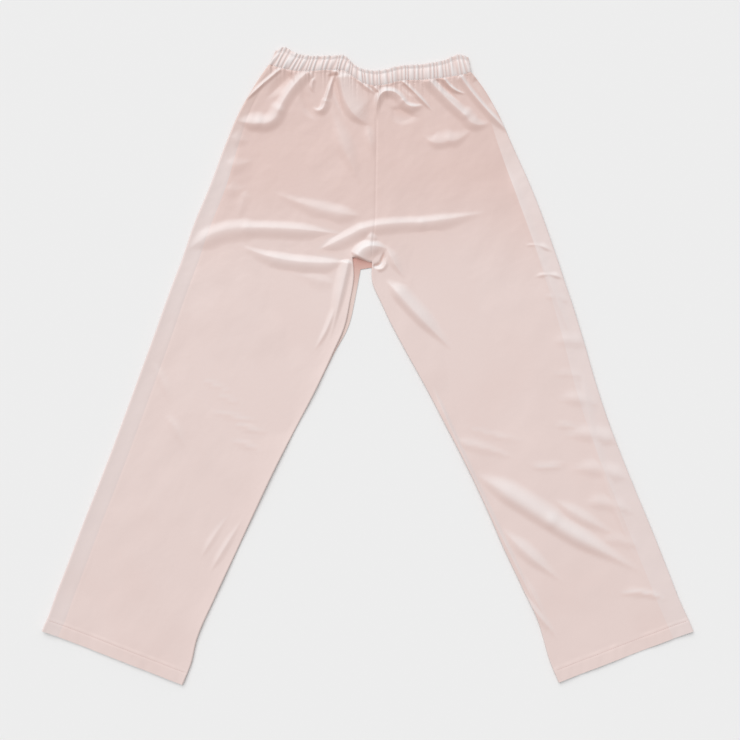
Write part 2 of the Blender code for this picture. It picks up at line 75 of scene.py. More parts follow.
room = bpy.data.worlds.new("room")
room.use_nodes = True
room.node_tree.nodes["Background"].inputs["Color"].default_value = (1.0, 1.0, 1.0, 1)
room.node_tree.nodes["Background"].inputs["Strength"].default_value = ROOM_LIGHT
bpy.context.scene.world = room
bpy.context.scene.view_settings.view_transform = "Standard"

window_light = bpy.data.lights.new("window", "SUN")
window_light.angle = WINDOW_SPREAD
window_light.energy = WINDOW_LIGHT
window = bpy.data.objects.new("window", window_light)
window.location = WINDOW_WAY
window.rotation_euler = (-Vector(WINDOW_WAY)).to_track_quat("-Z", "Y").to_euler()
bpy.context.collection.objects.link(window)

camera = bpy.data.objects.new("camera", bpy.data.cameras.new("camera"))
camera.data.lens = 50
camera.location = CAMERA_PLACE
bpy.context.collection.objects.link(camera)
bpy.context.scene.camera = camera

# Front panels
# One panel of satin tricot for each leg, sewn together down the centre, to the side panels at the
# sides and to the waistband, and curling down along the inseam. Its hem is turned up and stitched.

WALL = 1.1 * MM
LAID_TOP = 2.8 * MM
LEAST_TOP = 2.3 * MM  # what is left over the back where a crease runs low
PAINTED_LIGHT_PER_SLOPE = 1.3  # how much paler the cloth is painted for its slope up the leg, towards the window: painted highlight, and painted shade where it slopes down
PAINTED_LIGHT_PER_HEIGHT = 75.0  # and for each metre that a fold draws it up: painted highlight on ridges, painted shade in creases
# the most painted shade (below zero) and the most painted highlight (above zero)
PAINTED_LIGHT_LEAST, PAINTED_LIGHT_MOST = -0.75, 0.9
SIDE_RADIUS = 2.5 * MM
SIDE_TOP = 6.0 * MM
SIDE_SETTLE = 17.0 * MM
INSEAM_RADIUS = 1.9 * MM
INSEAM_TOP = 4.6 * MM
INSEAM_SETTLE = 12.0 * MM
INSEAM_FOOT = 1.3 * MM
WAIST_TOP = 5.0 * MM
WAIST_GATHERS = 2.2 * MM
WAIST_RISE = 1.7 * MM  # the gathered cloth puffs up where it leaves the stitches
WAIST_RISE_REACH = 1.8 * MM
WAIST_SETTLE = 32.0 * MM
WAIST_FREE = 5.0 * MM  # within this of the waistband the folds are held down
WAIST_BOW = 90.0 * MM
HEM_TURN_UP = 20.0 * MM
HEM_STEP = 0.7 * MM
HEM_EASE = 6.0 * MM
HEM_COCKLE = 0.5 * MM
LIP_DROP = 9.0 * MM
LIP_WIDTH = 31.0 * MM
LIP_REACH = 26.0 * MM
LIP_TURN = (3.0, 1.1, 0.3)  # mm by which its last rows turn down
HIP_LENGTH = 344.0 * MM

Groove = namedtuple("Groove", "depth reach")
CENTRE_GROOVE = Groove(0.4 * MM, 1.8 * MM)
SIDE_GROOVE = Groove(0.3 * MM, 2.0 * MM)
HEM_GROOVE = Groove(0.45 * MM, 1.6 * MM)

Section = namedtuple("Section", "down outer_x outer_y inner_x inner_y stripe peek")
RIGHT_HIP = [
    Section(0, -160, 482, 12, 454, 10, 0),
    Section(36, -182, 451, 13, 425, 12, 0),
    Section(83, -207, 411, 14, 393, 16, 0),
    Section(139, -229, 360, 14, 351, 21, 0),
    Section(218, -257, 286, 13, 289, 27, 0),
    Section(274, -279, 234, 12, 237, 28, 0),
    Section(327, -296, 185, 8, 195, 28, 0),
    Section(344, -301.5, 169, 7, 177, 28, 0),
]
LEFT_HIP = [
    Section(0, 168, 474, 12, 454, 10, 0),
    Section(36, 187, 450, 13, 425, 12, 0),
    Section(83, 210, 411, 14, 393, 16, 0),
    Section(139, 233, 360, 14, 351, 22, 0),
    Section(218, 266, 286, 13, 289, 29, 0),
    Section(274, 286, 234, 12, 237, 30, 0),
    Section(327, 303, 185, 8, 195, 30, 0),
    Section(344, 308.5, 169, 7, 177, 30, 0),
]
RIGHT_LEG = [
    Section(344, -301.5, 169, -24, 177, 28, 16),
    Section(376, -313, 139, -22, 143, 28, 8),
    Section(409, -324.5, 108, -28, 106, 28, 7),
    Section(442, -335.5, 77, -37, 64, 28, 6),
    Section(475, -346.5, 46, -54, 25, 28, 2),
    Section(540, -369, -15, -86, -43, 28, 0),
    Section(604, -391, -75, -118, -104, 28, 0),
    Section(671, -414, -137, -151, -169, 28, 0),
    Section(735, -437, -197, -183, -237, 28, 0),
    Section(799, -461, -257, -214, -304, 28, 0),
    Section(864, -484, -318, -246, -373, 28, 0),
    Section(923, -505, -373, -277, -445, 28, 0),
    Section(951, -514, -399, -285, -480, 28, 0),
    Section(981, -526, -427, -299, -515, 28, 0),
]
LEFT_LEG = [
    Section(344, 308.5, 169, 7, 168, 30, 0),
    Section(379, 319.5, 135, 8, 135, 30, 0),
    Section(413, 330.5, 103, 23, 101, 31, 0),
    Section(452, 342, 66, 38, 69, 32, 0),
    Section(486, 352, 33, 56, 35, 33, 0),
    Section(554, 371, -33, 92, -30, 35, 0),
    Section(618, 391, -93, 126, -95, 36, 0),
    Section(682, 414, -153, 161, -163, 37, 0),
    Section(746, 438, -212, 192, -229, 37, 0),
    Section(809, 462, -270, 221, -296, 37, 0),
    Section(871, 485, -328, 252, -362, 36, 0),
    Section(933, 508, -386, 281, -428, 35, 0),
    Section(957, 518, -407, 294, -474, 35, 0),
    Section(981, 527, -428, 309, -511, 35, 0),
]
Leg = namedtuple("Leg", "name side hip leg front_corner")
LEGS = [
    Leg("right", -1, RIGHT_HIP, RIGHT_LEG, 31 * MM),
    Leg("left", 1, LEFT_HIP, LEFT_LEG, 2 * MM),
]
# columns of a section: its two edges, the side panel's width on top, and how far the back shows
OUTER, INNER, STRIPE = slice(1, 3), slice(3, 5), slice(5, 6)
OUTER_Y, INNER_X, PEEK = 2, 3, 6

BandRow = namedtuple("BandRow", "low_x low_y high_x high_y")
WAISTBAND = [
    BandRow(-159, 487, -149, 508),
    BandRow(-146, 484, -136, 515),
    BandRow(-126, 479, -116, 505),
    BandRow(-101, 477, -95, 501),
    BandRow(-61, 479, -59, 501),
    BandRow(-36, 477, -35, 500),
    BandRow(-25, 469, -25, 490),
    BandRow(-6, 458, -9, 480),
    BandRow(12, 454, 11, 477),
    BandRow(32, 456, 30, 479),
    BandRow(49, 461, 48, 484),
    BandRow(85, 463, 85, 487),
    BandRow(126, 467, 124, 494),
    BandRow(150, 471, 147, 503),
    BandRow(168, 475, 163, 499),
]
GATHERS = 44

# A fold is a soft ridge, or a crease with a negative height, along a curve from one end over its bend
# to the other. Left and right are its widths on each side of that way; the fades are the shares of
# its length over which it rises and dies out.
Fold = namedtuple("Fold", "from_x from_y bend_x bend_y to_x to_y height left right fade_in fade_out")
FOLDS = [
    # right hip, drawn from the waistband towards the side and the centre
    Fold(-137, 482, -168, 456, -202, 424, 2.2, 5, 6, 0.1, 0.3),
    Fold(-90, 480, -122, 449, -143, 414, 3.4, 16, 12, 0.1, 0.0),
    Fold(-143, 414, -155, 396, -176, 392, 3.4, 16, 18, 0.0, 0.0),
    Fold(-176, 392, -190, 392, -215, 398, 3.4, 14, 22, 0.0, 0.6),
    Fold(-50, 482, -60, 452, -68, 428, 3.2, 9, 6, 0.1, 0.0),
    Fold(-68, 428, -76, 414, -90, 420, 3.2, 12, 8, 0.0, 0.6),
    Fold(-84, 468, -90, 452, -84, 441, 1.6, 6, 6, 0.2, 0.5),
    Fold(-45, 480, -30, 418, 8, 390, 3.8, 40, 13, 0.1, 0.4),
    Fold(-60, 425, -38, 356, -10, 290, 2.0, 22, 17, 0.5, 0.5),
    Fold(-2, 396, 4, 364, 9, 332, 1.4, 13, 12, 0.4, 0.5),
    Fold(-225, 372, -208, 366, -188, 364, 0.9, 18, 16, 0.4, 0.6),
    Fold(-233, 333, -208, 326, -178, 338, 1.0, 17, 21, 0.4, 0.7),
    Fold(-194, 286, -203, 262, -211, 231, 0.7, 16, 12, 0.3, 0.5),
    Fold(-230, 290, -213, 285, -191, 293, 0.7, 17, 18, 0.3, 0.7),
    Fold(-118, 474, -142, 454, -168, 428, -2.2, 16, 16, 0.2, 0.6),
    Fold(-104, 456, -98, 420, -80, 398, -1.3, 14, 12, 0.3, 0.5),
    Fold(-56, 476, -50, 438, -34, 392, -3.6, 13, 12, 0.1, 0.7),
    Fold(-30, 474, -8, 456, 16, 438, 1.8, 5, 8, 0.1, 0.4),
    # centre and left hip
    Fold(4, 462, 12, 450, 21, 440, 2.0, 8, 6, 0.2, 0.4),
    Fold(14, 392, 17, 430, 30, 444, 3.6, 10, 11, 0.6, 0.0),
    Fold(30, 444, 45, 442, 58, 429, 3.4, 8, 14, 0.0, 0.0),
    Fold(58, 429, 72, 420, 94, 424, 3.2, 7, 14, 0.0, 0.5),
    Fold(54, 462, 80, 438, 107, 410, 3.0, 6, 7, 0.1, 0.4),
    Fold(90, 472, 124, 436, 158, 405, 3.8, 13, 15, 0.1, 0.0),
    Fold(158, 405, 176, 390, 202, 396, 3.4, 18, 15, 0.0, 0.7),
    Fold(92, 374, 108, 361, 132, 364, 1.8, 22, 12, 0.6, 0.0),
    Fold(132, 364, 148, 367, 176, 389, 1.8, 20, 12, 0.0, 0.7),
    Fold(118, 472, 138, 448, 162, 441, 3.0, 5, 6, 0.1, 0.5),
    Fold(146, 474, 182, 426, 236, 370, 3.6, 7, 11, 0.1, 0.3),
    Fold(34, 420, 58, 408, 88, 402, -2.0, 13, 20, 0.4, 0.5),
    Fold(50, 464, 68, 446, 84, 434, -1.6, 9, 9, 0.3, 0.5),
    Fold(104, 470, 126, 448, 152, 424, -2.8, 9, 9, 0.2, 0.5),
    Fold(174, 474, 198, 440, 222, 402, -3.6, 12, 15, 0.15, 0.4),
    # drag lines that run out from the crotch
    Fold(-291, 186, -249, 214, -197, 224, 2.7, 17, 25, 0.4, 0.0),
    Fold(-197, 224, -117, 222, -25, 211, 2.7, 13, 21, 0.0, 0.5),
    Fold(-210, 198, -130, 172, -28, 169, 3.2, 13, 22, 0.5, 0.2),
    Fold(-84, 186, -46, 204, -10, 222, 2.7, 13, 20, 0.4, 0.0),
    Fold(-10, 222, 30, 230, 88, 233, 2.5, 12, 20, 0.0, 0.0),
    Fold(88, 233, 140, 240, 200, 250, 2.5, 12, 21, 0.0, 0.8),
    Fold(-160, 284, -75, 254, -8, 243, 2.1, 17, 20, 0.5, 0.3),
    Fold(-130, 150, -80, 140, -40, 128, 0.9, 16, 18, 0.5, 0.5),
    Fold(30, 197, 42, 169, 62, 140, 2.0, 14, 10, 0.4, 0.5),
    Fold(30, 140, 78, 86, 142, 22, 4.4, 22, 14, 0.25, 0.45),
    # the pouch of cloth over the crotch point, and the crease where it meets the left leg
    Fold(-20, 172, 2, 194, 38, 186, 6.0, 14, 27, 0.12, 0.5),
    Fold(2, 190, 5, 207, 7, 226, 3.0, 10, 14, 0.1, 0.5),
    Fold(9, 163, 21, 167, 27, 188, -4.6, 4, 5, 0.1, 0.3),
    Fold(13, 158, 27, 161, 32, 185, 1.6, 4, 6, 0.2, 0.4),
    # right leg: the rolled edge of the thigh, and faint lines across the leg and beside the inseam
    Fold(-30, 173, -41, 124, -62, 36, 3.6, 9, 19, 0.1, 0.5),
    Fold(-48, 110, -66, 60, -90, 22, 1.8, 7, 9, 0.3, 0.4),
    Fold(-274, -18, -245, -32, -217, -44, 0.8, 9, 9, 0.4, 0.5),
    Fold(-252, -42, -228, -52, -200, -64, 0.7, 9, 9, 0.4, 0.5),
    Fold(-261, -70, -214, -82, -172, -90, 0.9, 8, 9, 0.4, 0.5),
    Fold(-222, -88, -193, -100, -149, -112, 0.9, 8, 9, 0.4, 0.5),
    Fold(-226, -120, -196, -127, -165, -142, 0.8, 8, 9, 0.4, 0.5),
    Fold(-352, 10, -330, -26, -318, -66, 1.0, 12, 12, 0.4, 0.5),
    Fold(-330, -74, -308, -104, -292, -140, 1.0, 12, 12, 0.4, 0.5),
    Fold(-255, -334, -229, -290, -200, -244, 1.3, 9, 9, 0.3, 0.5),
    Fold(-270, -312, -246, -271, -219, -235, 1.0, 9, 9, 0.3, 0.5),
    # left leg: the knee, the long soft folds under it, and the puckers beside its side seam
    Fold(170, -172, 232, -210, 296, -250, 4.8, 27, 20, 0.5, 0.0),
    Fold(296, -250, 352, -284, 454, -338, 4.8, 23, 19, 0.0, 0.6),
    Fold(300, -214, 346, -244, 410, -276, 2.4, 16, 16, 0.4, 0.5),
    Fold(217, -262, 262, -306, 318, -350, 3.2, 18, 15, 0.4, 0.5),
    Fold(247, -362, 278, -404, 310, -440, 2.4, 11, 11, 0.4, 0.5),
    Fold(250, -330, 272, -378, 296, -420, 1.4, 9, 9, 0.4, 0.5),
    Fold(117, -119, 180, -130, 247, -152, 1.3, 13, 14, 0.4, 0.5),
    Fold(150, -95, 205, -112, 262, -120, 0.8, 10, 11, 0.4, 0.5),
    Fold(223, 326, 271, 197, 344, 11, 1.5, 14, 10, 0.2, 0.3),
    Fold(349, -9, 373, -143, 441, -333, 1.5, 14, 10, 0.2, 0.3),
    Fold(254, 194, 276, 195, 300, 184, 1.3, 8, 7, 0.4, 0.3),
    Fold(268, 142, 292, 148, 318, 140, 1.5, 8, 7, 0.4, 0.3),
    Fold(282, 107, 304, 112, 328, 101, 0.9, 10, 9, 0.4, 0.3),
    Fold(296, 32, 324, 42, 360, 30, 1.1, 17, 14, 0.5, 0.3),
    Fold(296, -16, 326, -12, 356, -22, 0.6, 10, 9, 0.4, 0.3),
    Fold(304, -58, 336, -53, 380, -66, 1.4, 18, 14, 0.5, 0.3),
    Fold(300, -98, 322, -96, 352, -108, 0.9, 10, 10, 0.4, 0.4),
    Fold(314, -118, 354, -110, 408, -124, 1.9, 21, 16, 0.5, 0.2),
    Fold(256, -160, 290, -162, 330, -156, 1.2, 9, 10, 0.4, 0.4),
    Fold(326, -172, 366, -166, 424, -184, 1.7, 20, 16, 0.5, 0.2),
    Fold(350, -226, 384, -222, 436, -240, 1.5, 18, 14, 0.4, 0.3),
    Fold(376, -286, 406, -282, 446, -296, 1.0, 17, 13, 0.4, 0.3),
    Fold(404, -372, 440, -366, 486, -378, 1.6, 9, 9, 0.4, 0.3),
    # the pale rim beside the left leg's inseam
    Fold(104, -28, 176, -190, 300, -443, 2.6, 7, 9, 0.2, 0.3),
]


def smooth(at, knots, values):
    """A table's values at some places, on cubic pieces whose slopes come from the rows beside."""
    at = np.atleast_1d(at)
    slopes = np.gradient(values, knots, axis=0)
    i = np.clip(np.searchsorted(knots, at) - 1, 0, len(knots) - 2)
    step = (knots[i + 1] - knots[i])[:, None]
    t = (at - knots[i])[:, None] / step
    start = values[i] * (1 + 2 * t) * (1 - t) ** 2 + slopes[i] * step * t * (1 - t) ** 2
    end = values[i + 1] * t**2 * (3 - 2 * t) - slopes[i + 1] * step * t**2 * (1 - t)
    return start + end


def read_table(table, down):
    """The sections of a leg at some distances down it, one row each, in metres."""
    rows = np.array(table, dtype=float) * MM
    return smooth(down, rows[:, 0], rows)


def ease(share):
    share = np.clip(share, 0, 1)
    return share * share * (3 - 2 * share)


def running_length(points):
    return np.concatenate([[0.0], np.cumsum(np.linalg.norm(np.diff(points, axis=0), axis=1))])


def nearest(path, x, y):
    """Distance from points to a polyline, how far along it, and which side: 1 left, -1 right."""
    way = np.diff(path, axis=0)
    gap_x = x[:, None] - path[:-1, 0]
    gap_y = y[:, None] - path[:-1, 1]
    share = np.clip((gap_x * way[:, 0] + gap_y * way[:, 1]) / (way**2).sum(axis=1), 0, 1)
    off_x = gap_x - share * way[:, 0]
    off_y = gap_y - share * way[:, 1]
    distance = np.hypot(off_x, off_y)
    rows, pick = np.arange(len(x)), distance.argmin(axis=1)
    turn = way[pick, 0] * off_y[rows, pick] - way[pick, 1] * off_x[rows, pick]
    distance = distance[rows, pick]
    side = turn / np.maximum(np.linalg.norm(way[pick], axis=1) * distance, 1e-9)
    return distance, (pick + share[rows, pick]) / len(way), side


def edge_path(table, columns, points=40):
    rows = np.array(table, dtype=float)
    return read_table(table, np.linspace(rows[0, 0], rows[-1, 0], points) * MM)[:, columns]


def stripe_path(table):
    rows = read_table(table, np.linspace(table[0].down, table[-1].down, 40) * MM)
    across = rows[:, INNER] - rows[:, OUTER]
    across /= np.linalg.norm(across, axis=1, keepdims=True)
    return rows[:, OUTER] + across * rows[:, STRIPE]


SIDE_EDGES = [np.concatenate([edge_path(leg.hip, OUTER)[:-1], edge_path(leg.leg, OUTER)]) for leg in LEGS]
SIDE_SEAMS = [np.concatenate([stripe_path(leg.hip)[:-1], stripe_path(leg.leg)]) for leg in LEGS]
INSEAMS = [edge_path(leg.leg, INNER) for leg in LEGS]
HEMS = [np.array([leg.leg[-1][OUTER], leg.leg[-1][INNER]]) * MM for leg in LEGS]
CENTRE_SEAM = edge_path(LEGS[0].hip, INNER)


def band_edges(share):
    """The lower and upper edge of the waistband at some shares of its way from right to left."""
    rows = np.array(WAISTBAND, dtype=float) * MM
    way = running_length((rows[:, :2] + rows[:, 2:]) / 2)
    return smooth(share, way / way[-1], rows)


BAND_SHARES = np.linspace(0, 1, 160)
WAIST_LINE = band_edges(BAND_SHARES)[:, :2]


def gather_count(share):
    """How many gathers lie before a place on the band: their widths vary by a third."""
    drift = 0.26 * np.sin(37.0 * share) + 0.2 * np.sin(91.0 * share + 1.0) + 0.1 * np.sin(173.0 * share)
    return GATHERS * share + drift


def gather_wave(count):
    """Round crests with narrow hollows between them, each a little higher or lower than the next."""
    crest = np.abs(np.sin(np.pi * count)) ** 1.2
    return crest * (0.8 + 0.2 * np.sin(2.4 * np.floor(count)) + 0.12 * np.sin(5.1 * np.floor(count)))


def fold_path(fold):
    start, bend, end = np.array(fold[:6], dtype=float).reshape(3, 2) * MM
    pull = 2 * bend - (start + end) / 2
    t = np.linspace(0, 1, 17)[:, None]
    return start * (1 - t) ** 2 + 2 * pull * t * (1 - t) + end * t**2


def relief(x, y, folds=FOLDS):
    """What the folds add to the cloth's height. Where ridges meet, it is little more than the highest."""
    ridges, creases = np.zeros_like(x), np.zeros_like(x)
    for fold in folds:
        path, reach = fold_path(fold), max(fold.left, fold.right) * MM
        low, high = path.min(axis=0) - reach, path.max(axis=0) + reach
        near = (x > low[0]) & (x < high[0]) & (y > low[1]) & (y < high[1])
        if not near.any():
            continue
        distance, along, side = nearest(path, x[near], y[near])
        left = ease(along / fold.fade_in) if fold.fade_in else 1.0
        left = left * (ease((1 - along) / fold.fade_out) if fold.fade_out else 1.0)
        width = (fold.left * (1 + side) + fold.right * (1 - side)) / 2 * MM * (0.35 + 0.65 * left)
        off = np.clip(distance / width, 0, 1)
        sharp = np.clip((20 * MM - width) / (16 * MM), 0, 0.6)
        profile = (1 - sharp) * (1 + np.cos(np.pi * off)) / 2 + sharp * (1 - off) ** 2
        height = left * fold.height * MM * profile
        if fold.height > 0:
            ridges[near] += height**3
        else:
            creases[near] += height
    return ridges ** (1 / 3) + creases


def painted_light(x, y, folds=FOLDS):
    """Painted light: above zero the cloth is painted paler where it faces up the leg, towards the window, and
    where a fold draws it up (painted highlight); below zero it is painted deeper where it faces down the leg
    and in creases (painted shade).
    """
    step = 1.0 * MM
    slope = (relief(x, y - step, folds) - relief(x, y + step, folds)) / (2 * step)
    return np.clip(PAINTED_LIGHT_PER_SLOPE * slope + PAINTED_LIGHT_PER_HEIGHT * relief(x, y, folds), PAINTED_LIGHT_LEAST, PAINTED_LIGHT_MOST)


def cockle(x, y, length, seed):
    """Soft unevenness, from -1 to 1, of a given length."""
    return np.array([noise.noise((a, b, seed)) for a, b in zip(x / length, y / length)])


def sunk(distance, groove):
    """How far a seam or a line of stitches sinks the cloth at some distances from it."""
    return groove.depth * np.exp(-((distance / groove.reach) ** 2))


def cloth_top(x, y):
    """The height of the front's upper side over points of the laid garment."""
    from_side = np.minimum(*[nearest(edge, x, y)[0] for edge in SIDE_EDGES])
    from_inseam = np.minimum(*[nearest(edge, x, y)[0] for edge in INSEAMS])
    from_seam = np.minimum(*[nearest(edge, x, y)[0] for edge in SIDE_SEAMS])
    from_centre = nearest(CENTRE_SEAM, x, y)[0]
    below_waist = np.clip(np.interp(x, *WAIST_LINE.T) - y, 0, None)
    side = (SIDE_TOP - LAID_TOP) * np.exp(-np.clip(from_side - SIDE_RADIUS, 0, None) / SIDE_SETTLE)
    held = (WAIST_TOP - LAID_TOP) * np.exp(-below_waist / WAIST_SETTLE)
    roll = (INSEAM_TOP - LAID_TOP) * np.exp(-np.clip(from_inseam - INSEAM_RADIUS, 0, None) / INSEAM_SETTLE)
    height = LAID_TOP + np.maximum(side, held) + roll
    free = ease(below_waist / WAIST_FREE)
    height += WAIST_RISE * (1 - np.exp(-below_waist / WAIST_RISE_REACH)) * np.exp(-below_waist / WAIST_SETTLE)
    count = gather_count(np.interp(x, WAIST_LINE[:, 0], BAND_SHARES))
    reach = (8 + 4 * np.sin(1.9 * np.floor(count)) + 3 * np.sin(4.3 * np.floor(count))) * MM
    height += WAIST_GATHERS * (1 + 0.6 * free) * np.exp(-below_waist / reach) * (gather_wave(count) - 0.5)
    for hem in HEMS:
        from_hem = nearest(hem, x, y)[0]
        turned_up = ease((HEM_TURN_UP + HEM_EASE - from_hem) / HEM_EASE)
        height += HEM_STEP * turned_up - sunk(from_hem - HEM_TURN_UP, HEM_GROOVE)
        height += HEM_COCKLE * turned_up * cockle(x * 1.4, y * 0.4, 16 * MM, 3.1)
    height -= sunk(from_centre, CENTRE_GROOVE)
    height -= sunk(from_seam, SIDE_GROOVE)
    height += free * relief(x, y)
    # long, short and fine unevenness
    height += free * 2.4 * MM * cockle(x + 0.36 * y, y * 0.45, 80 * MM, 1.3)
    height += free * 0.7 * MM * cockle(x * 0.8 + y * 0.3, y * 0.7 - x * 0.5, 32 * MM, 5.7)
    height += free * 0.14 * MM * cockle(x * 0.7 + y * 0.4, y * 0.9 - x * 0.7, 12 * MM, 9.1)
    return np.maximum(height, LEAST_TOP)


def move_to_waist(leg, points, outer_y, hip_row):
    """Moves points near the waist to its curve and those over the foot of the centre seam down."""
    top = Section(*(np.array(leg.hip[0]) * MM))
    share = np.clip((points[..., 0] - top.outer_x) / (top.inner_x - top.outer_x), 0, 1)
    straight = top.outer_y + (top.inner_y - top.outer_y) * share
    bow = np.interp(points[..., 0], *WAIST_LINE.T) - straight
    points[..., 1] += bow * (1 - ease((top.outer_y - outer_y) / WAIST_BOW))
    foot = CENTRE_SEAM[-1]
    above = ease(1 - (points[..., 1] - foot[1]) / LIP_REACH)
    beside = ease(1 - np.abs(points[..., 0] - foot[0]) / LIP_WIDTH)
    points[..., 1] -= LIP_DROP * (above * beside) * hip_row


# How closely the rows of the mesh lie: most so at the waist, the crotch and the hem.
Rows = namedtuple("Rows", "from_mm to_mm count")
ROWS = [
    Rows(0, 40, 36),
    Rows(40, 290, 104),
    Rows(290, 344, 45),
    Rows(344, 384, 26),
    Rows(384, 953, 104),
    Rows(953, 981, 24),
]


def leg_rows(leg, apart=1):
    """The sections of a leg at every row, or with the rows further apart, and which lie above the crotch."""
    down = [np.linspace(r.from_mm, r.to_mm, r.count // apart, endpoint=False) for r in ROWS]
    down = np.append(np.concatenate(down), ROWS[-1].to_mm) * MM
    above = down <= HIP_LENGTH
    sections = np.concatenate([read_table(leg.hip, down[above]), read_table(leg.leg, down[~above])])
    return sections, above[:, None]


def cloth_piece(places, cut_places, painted_light_shares):
    """A grid of cloth laid on its places. Its UV map is its place in the flat cut."""
    rows, columns = places.shape[:2]
    bm = bmesh.new()
    bmesh.ops.create_grid(bm, x_segments=columns - 1, y_segments=rows - 1, size=0.5)
    bm.verts.ensure_lookup_table()
    flat = np.array([vert.co for vert in bm.verts])
    column = np.rint((flat[:, 0] + 0.5) * (columns - 1)).astype(int)
    row = np.rint((0.5 - flat[:, 1]) * (rows - 1)).astype(int)
    cut = bm.loops.layers.uv.new("cut")
    # each point keeps its painted highlight and shade for the material to read
    painted_light_layer = bm.verts.layers.float.new("painted_light")
    for vert, i, j in zip(bm.verts, row, column):
        vert.co = places[i, j]
        vert[painted_light_layer] = painted_light_shares[i, j]
        for loop in vert.link_loops:
            loop[cut].uv = cut_places[i, j]
    return bm, row, column


def finish(bm, name, wall, material, under=None):
    """Turns the cloth into a piece with a wall, whose underside may show another side of the cloth."""
    mesh = bpy.data.meshes.new(name)
    bm.to_mesh(mesh)
    bm.free()
    mesh.materials.append(material)
    if under:
        mesh.materials.append(under)
    piece = bpy.data.objects.new(name, mesh)
    bpy.context.collection.objects.link(piece)
    if wall:
        thickness = piece.modifiers.new("wall", "SOLIDIFY")
        thickness.thickness = wall
        thickness.offset = -1.0
        thickness.material_offset = 1 if under else 0
        whole = piece.evaluated_get(bpy.context.evaluated_depsgraph_get())
        piece.data = bpy.data.meshes.new_from_object(whole)
        piece.modifiers.clear()
    piece.data.shade_smooth()
    piece.data.set_sharp_from_angle(angle=np.radians(62))
    return piece


